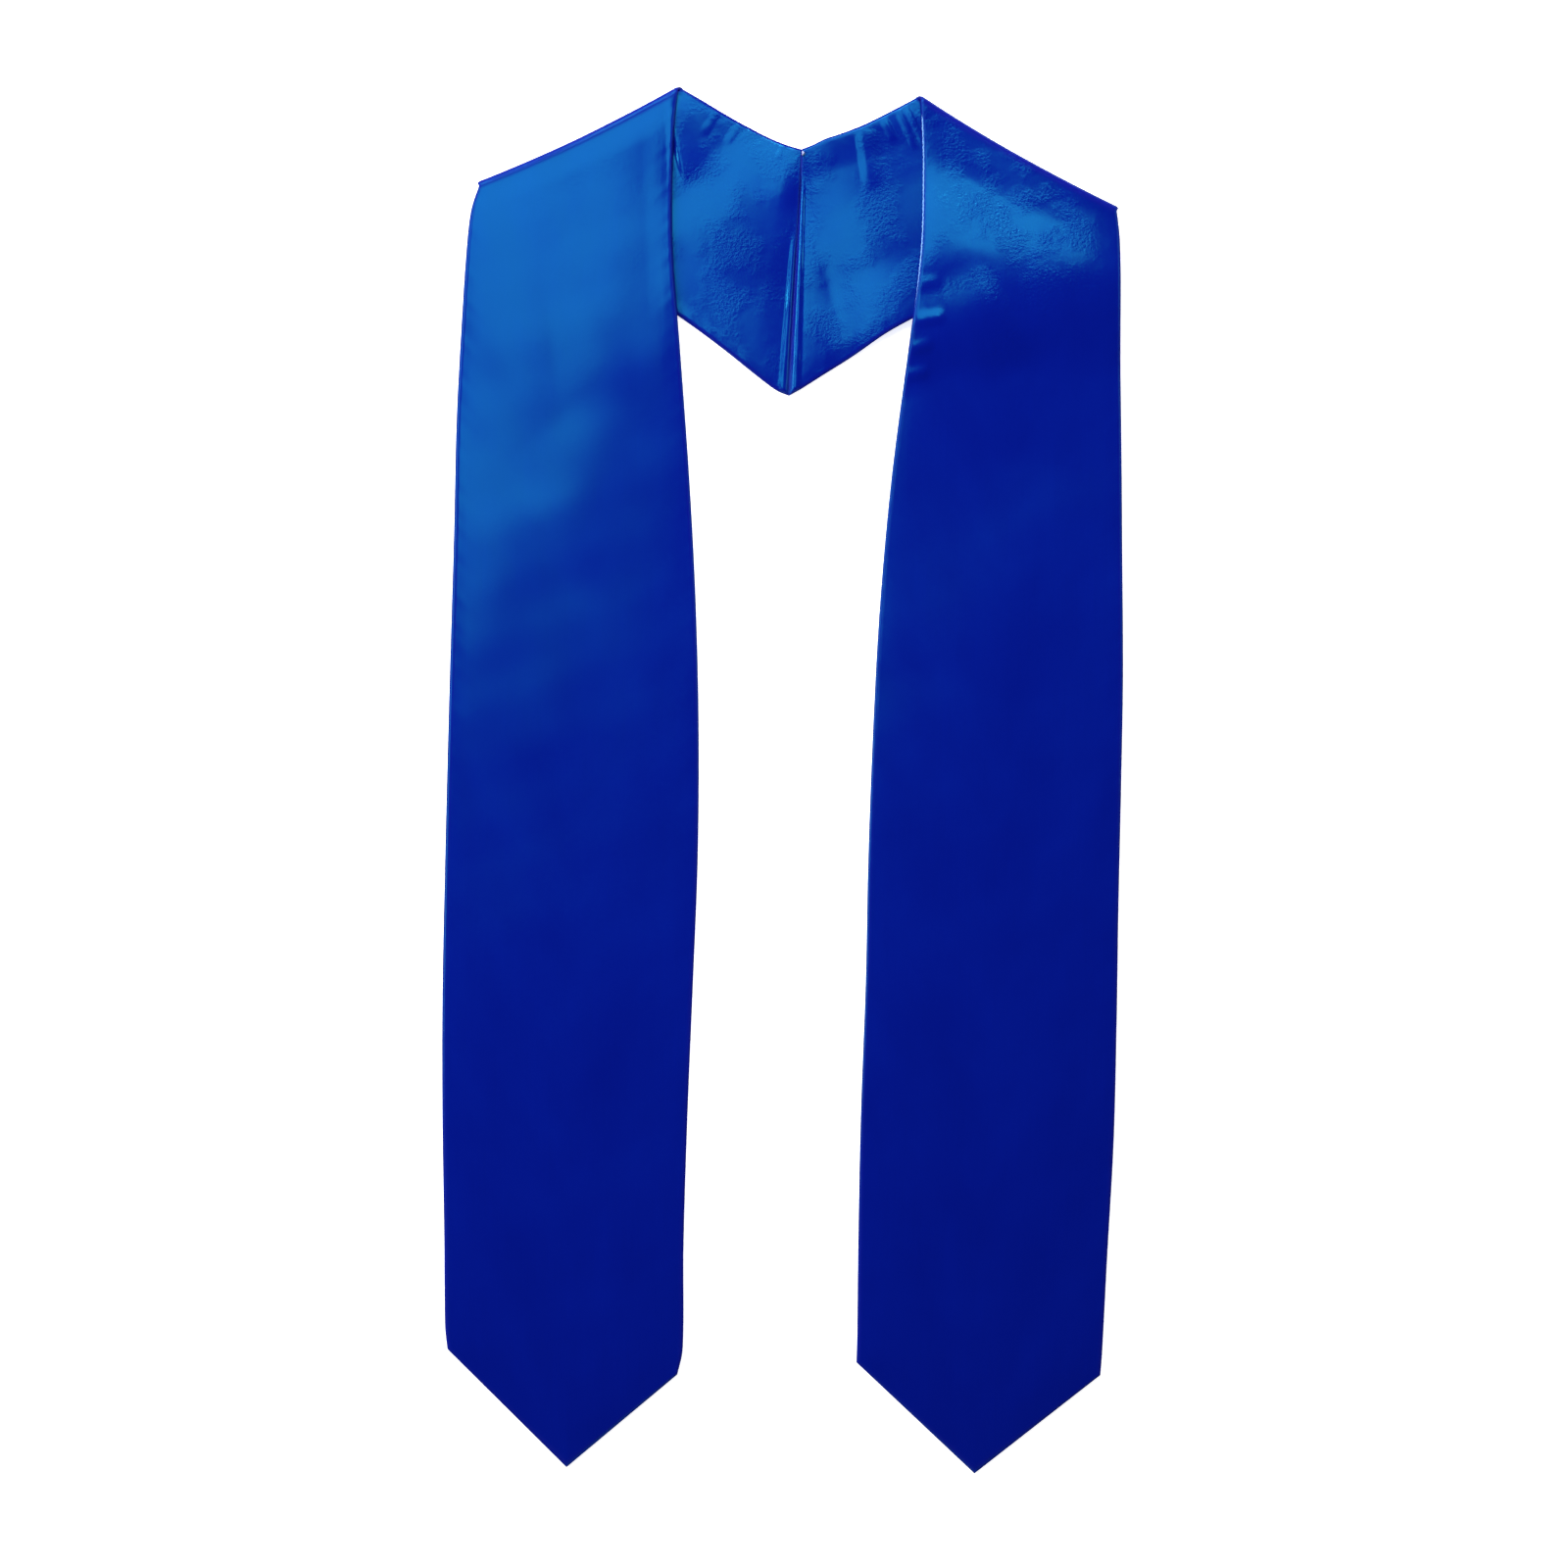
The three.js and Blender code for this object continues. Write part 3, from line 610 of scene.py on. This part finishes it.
class Nodes:
    """The nodes of one material."""

    def __init__(self, name):
        self.material = bpy.data.materials.new(name)
        self.material.use_nodes = True
        self.tree = self.material.node_tree
        self.tree.nodes.clear()

    def make(self, kind, settings=None, values=None, output=0):
        """A node of a type, with its settings first and then the values or links of its sockets."""
        node = self.tree.nodes.new(kind)
        for key, value in (settings or {}).items():
            setattr(node, key, value)
        for key, value in (values or {}).items():
            if isinstance(value, Socket):
                self.tree.links.new(value.source, node.inputs[key])
            else:
                node.inputs[key].default_value = value
        return Socket(self, node.outputs[output])

    def noise(self, vector, scale, detail=2.0, roughness=0.5):
        """Smooth noise from 0 to 1."""
        values = {"Vector": vector, "Scale": scale, "Detail": detail, "Roughness": roughness}
        return self.make("ShaderNodeTexNoise", dict(normalize=True), values)

    def scaled(self, vector, scale):
        """A vector times another, axis by axis."""
        return self.make("ShaderNodeVectorMath", dict(operation="MULTIPLY"), {0: vector, 1: scale})

    def ramp(self, value, low, high):
        """A smooth step from 0 to 1 between two values."""
        settings = dict(interpolation_type="SMOOTHSTEP")
        values = {"Value": value, "From Min": low, "From Max": high}
        return self.make("ShaderNodeMapRange", settings, values)

    def mix(self, factor, low, high):
        """A blend of two colours."""
        values = {"Factor": factor, "A": (*low, 1), "B": (*high, 1)}
        return self.make("ShaderNodeMix", dict(data_type="RGBA"), values, output=2)

    def finish(self, shader):
        """Sends a shader to the surface."""
        out = self.tree.nodes.new("ShaderNodeOutputMaterial")
        self.tree.links.new(shader.source, out.inputs["Surface"])
        return self.material


def satin_material(name, finish, grain):
    """Satin: a deep dye with a blue lustre, dull along its worn rims. Long warp floats, slubs and,
    towards the neck, a crushed grain are in its bump, and slow clouds are in its tone and gloss."""
    nodes = Nodes(name)
    cloth = nodes.make("ShaderNodeUVMap", dict(uv_map="cloth"))
    place = nodes.make("ShaderNodeTexCoord", output=3)
    along = nodes.make("ShaderNodeSeparateXYZ", None, {"Vector": cloth}, 1)
    neck = nodes.ramp(along, 0.56, 0.72)
    floats = nodes.noise(nodes.scaled(cloth, (1 / finish.weave_pitch, 0.09 / finish.weave_pitch, 1)), 1.0, 1.0)
    slubs = nodes.noise(nodes.scaled(cloth, (900.0, 14.0, 1.0)), 1.0, 2.0)
    clouds = nodes.noise(nodes.scaled(cloth, (26.0, 17.0, 1.0)), 1.0, 3.0)
    crush = nodes.noise(nodes.scaled(place, (560.0, 560.0, 0.0)), 1.0, 2.0, 0.6)
    patches = nodes.ramp(nodes.noise(nodes.scaled(place, (45.0, 45.0, 0.0)), 1.0, 2.0), 0.4, 0.62)
    rim = nodes.make("ShaderNodeAttribute", dict(attribute_name="rim"), output=2)
    deep = tuple(0.84 * c for c in finish.dye)
    light = tuple(1.18 * c for c in finish.dye)
    colour = nodes.mix(clouds * 0.75 + slubs * 0.25, deep, light)
    rough = finish.roughness - 0.05 + 0.07 * clouds + 0.03 * crush
    crumple = crush * (0.00001 + grain * neck * patches)
    height = floats * 0.000006 + slubs * 0.000006 + crumple
    bump = nodes.make("ShaderNodeBump", None, {"Strength": 1.0, "Distance": 1.0, "Height": height})
    shader = nodes.make(
        "ShaderNodeBsdfPrincipled",
        None,
        {
            "Base Color": colour,
            "Roughness": rough,
            "IOR": 1.5,
            "Specular IOR Level": 1.0,
            "Specular Tint": (*finish.lustre, 1),
            "Normal": bump,
        },
    )
    worn = nodes.make(
        "ShaderNodeBsdfPrincipled",
        None,
        {"Base Color": colour, "Roughness": 0.8, "Specular IOR Level": 0.06, "Normal": bump},
    )
    return nodes.finish(nodes.make("ShaderNodeMixShader", None, {0: rim * 0.85, 1: shader, 2: worn}))


def thread_material(name, tone):
    """Sewing thread: pale, with a fine twist along it."""
    nodes = Nodes(name)
    place = nodes.make("ShaderNodeTexCoord", output=3)
    twist = nodes.noise(nodes.scaled(place, (2500.0, 2500.0, 2500.0)), 1.0, 1.0)
    colour = nodes.mix(twist, tuple(0.8 * c for c in tone), tone)
    bump = nodes.make("ShaderNodeBump", None, {"Strength": 0.5, "Distance": 0.0001, "Height": twist})
    values = {"Base Color": colour, "Roughness": 0.6, "Specular IOR Level": 0.15, "Normal": bump}
    return nodes.finish(nodes.make("ShaderNodeBsdfPrincipled", None, values))


def floor_material(tone):
    """Matt pale paper with a faint mottle."""
    nodes = Nodes("pale_floor")
    place = nodes.make("ShaderNodeTexCoord", output=3)
    mottle = nodes.noise(place, 3.0, 3.0)
    colour = nodes.mix(mottle, (0.985 * tone,) * 3, (tone,) * 3)
    shader = nodes.make(
        "ShaderNodeBsdfPrincipled",
        None,
        {
            "Base Color": colour,
            "Roughness": 0.9,
            "Specular IOR Level": 0.2,
            "Emission Color": colour,
            "Emission Strength": 0.8,
        },
    )
    return nodes.finish(shader)


def plan_centre(sizes):
    """Middle of the stole's outline, which the frame's origin lies under."""
    outline = []
    for name in HALVES:
        plan = BandPlan(sizes, name)
        along = np.linspace(0, 1, 400)
        outer, inner = plan.front_edges(along)
        tip_y = plan.hem_outer[1] + (plan.hem_inner[1] - plan.hem_outer[1]) * plan.half["tip_across"]
        tip = np.array([[plan.hem_outer[0], tip_y - sizes.point_depth]])
        outline += [outer, inner, plan.neck_peak[None], plan.shoulder_tip[None], tip]
    outline = np.concatenate(outline)
    return (outline.min(axis=0) + outline.max(axis=0)) / 2


def add_cloth(scene, name, cloth):
    """One cloth of one half, with its material, in place of its CAD node."""
    sizes = scene.stole_sizes
    plan = BandPlan(sizes, name)
    is_face = cloth == "face"
    near, far, flat, rim = cloth_surfaces(plan, is_face, *GRIDS[cloth])
    centre = plan_centre(sizes)
    shift = np.array((-centre[0], -centre[1], 0))
    near, far = near + shift, far + shift
    node = f"{name}_{cloth}"
    faces_up = (plan.side < 0) == is_face
    piece = shell_object(f"{node}_cloth", near, far, flat, rim, not faces_up)
    satin = satin_material(f"{node}_satin", scene.stole_satin, GRAIN[node])
    piece.data.materials.append(satin)
    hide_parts(node)
    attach(piece, "root")
    return piece, plan


def cord_object(name, path, radius, lift):
    """A closed cord along a path: eleven points round each place of it, lifted off the path, and a
    flat cap at each end."""
    along = np.gradient(path, axis=0)
    along = along / np.linalg.norm(along, axis=1)[:, None]
    side = np.cross(along, (0.0, 0.0, 1.0))
    side = side / np.linalg.norm(side, axis=1)[:, None]
    up = np.cross(side, along)
    sides = 11
    round_turn = 2 * np.pi * np.arange(sides) / sides
    ring = np.cos(round_turn)[None, :, None] * side[:, None, :]
    ring = ring + np.sin(round_turn)[None, :, None] * up[:, None, :]
    points = path[:, None, :] + up[:, None, :] * lift + ring * radius[:, None, None]
    rows = len(path)
    index = np.arange(rows * sides).reshape(rows, sides)
    after = np.roll(index, -1, axis=1)
    faces = np.stack((index[:-1], index[1:], after[1:], after[:-1]), axis=2).reshape(-1, 4)
    mesh = bpy.data.meshes.new(name)
    caps = [index[0].tolist(), index[-1, ::-1].tolist()]
    mesh.from_pydata(points.reshape(-1, 3), [], faces.tolist() + caps)
    mesh.polygons.foreach_set("use_smooth", np.ones(len(mesh.polygons), dtype=bool))
    mesh.update(calc_edges=True)
    mesh.validate()
    piece = bpy.data.objects.new(name, mesh)
    bpy.context.collection.objects.link(piece)
    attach(piece, "root")
    return piece


def resampled(path, spacing):
    """A path with points at an even spacing."""
    length = np.concatenate(([0], np.cumsum(np.linalg.norm(np.diff(path, axis=0), axis=1))))
    places = np.linspace(0, length[-1], int(length[-1] / spacing) + 1)
    return np.stack([np.interp(places, length, path[:, axis]) for axis in range(3)], axis=1), places


def upper_surface(scene, name, cloth):
    """The surface of a cloth that is seen, in the stole's frame, on its grid of rows."""
    plan = BandPlan(scene.stole_sizes, name)
    _, far, _, _ = cloth_surfaces(plan, cloth == "face", *GRIDS[cloth])
    return far - np.array((*plan_centre(scene.stole_sizes), 0))


class STOLE_OT_threads(bpy.types.Operator):
    """Add the stitching of the right front's edge, pale with painted highlight, and the centre seam, and its
    thread end
    """

    bl_idname = "stole.threads"
    bl_label = "Threads"

    def execute(self, context):
        scene = context.scene
        # The pale tone given to the right front's edge stitching is painted highlight: the sheen of the rolled
        # edge, put into the thread's colour.
        pale = thread_material("thread_with_painted_highlight", (0.16, 0.34, 0.75))
        white = thread_material("white_thread", (0.26, 0.3, 0.5))

        rows = slice(len(RIM_STEPS), len(RIM_STEPS) + GRIDS["face"][0])
        front = upper_surface(scene, "right", "face")[rows, -3]
        path, places = resampled(front[::-1], THREAD_SPACING)
        near = (places > 0.008) & (places < 0.118)
        path, places = path[near], places[near]
        share = (places - places[0]) / (places[-1] - places[0])
        taper = smooth_share(0, 0.03, share) * (1 - smooth_share(0.75, 1, share))
        beads = 0.45 + 0.55 * ripple(places, 0.0024, 2.0) * ripple(places, 0.011, 5.0) ** 0.5
        path[:, 0] += 0.0003 * (ripple(places, 0.0035, 1.0) - 0.5)
        # This cord stands for stitching along the right front's inner edge, and its pale colour is painted
        # highlight of that edge's sheen.
        cord = cord_object("edge_stitching_painted_highlight", path, 0.00002 + 0.00052 * taper * beads, 0.00005)
        cord.data.materials.append(pale)

        lining = upper_surface(scene, "right", "lining")
        corner = lining[-4, -4]
        s = np.linspace(0, 1, 30)
        bend = np.sin(np.pi * s)
        offsets = (-0.0004 + 0.0008 * bend, -0.0011 - 0.002 * s, 0.0007 + 0.0003 * bend)
        path = corner + np.stack(offsets, axis=1)
        knot = cord_object("thread_end", path, 0.0002 + 0.0006 * bend**0.7, 0.0)
        knot.data.materials.append(white)

        halves = [upper_surface(scene, name, "lining")[-1, 3:-3] for name in HALVES]
        path, places = resampled((halves[0] + halves[1]) / 2, THREAD_SPACING)
        share = places / places[-1]
        taper = smooth_share(0, 0.01, share) * (1 - smooth_share(0.99, 1, share))
        path[:, 0] += 0.0002 * (ripple(places, 0.006, 3.0) - 0.5)
        radius = 0.00002 + 0.0004 * taper * (0.75 + 0.25 * ripple(places, 0.0022, 4.0))
        stitches = cord_object("seam_stitching", path, radius, -0.0001)
        stitches.data.materials.append(thread_material("blue_thread", (0.003, 0.014, 0.24)))
        return {"FINISHED"}


class STOLE_OT_linings(bpy.types.Operator):
    """Add the two lining cloths, which turn up in the yoke"""

    bl_idname = "stole.linings"
    bl_label = "Linings"

    def execute(self, context):
        for name in HALVES:
            piece, _ = add_cloth(context.scene, name, "lining")
        return {"FINISHED"}


class STOLE_OT_faces(bpy.types.Operator):
    """Add the two face cloths, which show in the front bands"""

    bl_idname = "stole.faces"
    bl_label = "Faces"

    def execute(self, context):
        for name in HALVES:
            piece, _ = add_cloth(context.scene, name, "face")
        return {"FINISHED"}


class STOLE_OT_stage(bpy.types.Operator):
    """Add the pale floor, the soft lights and the camera"""

    bl_idname = "stole.stage"
    bl_label = "Stage"

    def execute(self, context):
        scene = context.scene
        look = scene.stole_stage
        mesh = bpy.data.meshes.new("floor")
        sides = ((-1, -1), (1, -1), (1, 1), (-1, 1))
        corners = [(FLOOR_HALF * x, FLOOR_HALF * y, -FLOOR_DROP) for x, y in sides]
        mesh.from_pydata(corners, [], [(0, 1, 2, 3)])
        floor = bpy.data.objects.new("floor", mesh)
        scene.collection.objects.link(floor)
        mesh.materials.append(floor_material(look.floor_tone))

        def softbox(name, place, aim, size, power, turn=0.0):
            light = bpy.data.lights.new(name, "AREA")
            light.shape = "RECTANGLE"
            light.size, light.size_y = size
            light.energy = power
            box = bpy.data.objects.new(name, light)
            scene.collection.objects.link(box)
            facing = (Vector(aim) - Vector(place)).to_track_quat("-Z", "Y")
            box.location = place
            box.rotation_euler = (Quaternion((0, 0, 1), turn) @ facing).to_euler()

        side = look.side_power
        softbox("window", (-0.262, 1.0, 1.6), (-0.262, 1.0, 0), (1.5, 0.9), look.window_power, 0.926)
        softbox("window_side", (0.32, 0.85, 1.6), (0.32, 0.85, 0), (0.36, 0.34), 0.13 * look.window_power)
        softbox("softbox_top", (-0.4, 1.4, 1.15), (-0.1, 0.3, 0), (1.6, 0.7), 1.3 * side)
        softbox("softbox_left", (-1.7, 0.35, 1.1), (-0.1, 0.15, 0), (1.2, 1.0), 0.9 * side)
        softbox("softbox_right", (1.7, 0.6, 1.0), (0.1, 0.3, 0), (1.2, 1.0), 0.22 * side)
        softbox("softbox_foot", (0.0, -1.9, 1.2), (0, -0.1, 0), (2.0, 1.0), 0.24 * side)

        world = bpy.data.worlds.new("studio")
        world.use_nodes = True
        world.node_tree.nodes["Background"].inputs["Color"].default_value = (1, 1, 1, 1)
        world.node_tree.nodes["Background"].inputs["Strength"].default_value = 0.02
        scene.world = world
        scene.view_settings.view_transform = "Standard"

        lens = bpy.data.cameras.new("camera")
        camera = bpy.data.objects.new("camera", lens)
        scene.collection.objects.link(camera)
        camera.location = (0.0008, -0.0022, look.camera_height)
        lens.sensor_width = 36.0
        lens.lens = 36.0 * look.camera_height / look.view_width
        lens.clip_start, lens.clip_end = 0.05, 20.0
        scene.camera = camera
        return {"FINISHED"}


class STOLE_PT_sidebar(bpy.types.Panel):
    """The stole's sizes, satin and stage"""

    bl_idname = "STOLE_PT_sidebar"
    bl_label = "Graduation Stole"
    bl_space_type = "VIEW_3D"
    bl_region_type = "UI"
    bl_category = "Stole"

    def draw(self, context):
        layout = self.layout
        for group in ("stole_sizes", "stole_satin", "stole_stage"):
            settings = getattr(context.scene, group)
            for key in settings.__annotations__:
                layout.prop(settings, key)
        for operator in (STOLE_OT_linings, STOLE_OT_faces, STOLE_OT_threads, STOLE_OT_stage):
            layout.operator(operator.bl_idname)


CLASSES = (
    StoleSizes,
    SatinFinish,
    StageLook,
    STOLE_OT_linings,
    STOLE_OT_faces,
    STOLE_OT_threads,
    STOLE_OT_stage,
    STOLE_PT_sidebar,
)


def register():
    """Registers the classes and hangs their settings on the scene."""
    for cls in CLASSES:
        bpy.utils.register_class(cls)
    bpy.types.Scene.stole_sizes = bpy.props.PointerProperty(type=StoleSizes)
    bpy.types.Scene.stole_satin = bpy.props.PointerProperty(type=SatinFinish)
    bpy.types.Scene.stole_stage = bpy.props.PointerProperty(type=StageLook)


def unregister():
    """Takes the settings and classes away again."""
    del bpy.types.Scene.stole_sizes
    del bpy.types.Scene.stole_satin
    del bpy.types.Scene.stole_stage
    for cls in reversed(CLASSES):
        bpy.utils.unregister_class(cls)


def main():
    """Builds the stole and its stage."""
    register()
    bpy.ops.stole.linings()
    bpy.ops.stole.faces()
    bpy.ops.stole.threads()
    bpy.ops.stole.stage()


if __name__ == "__main__":
    main()
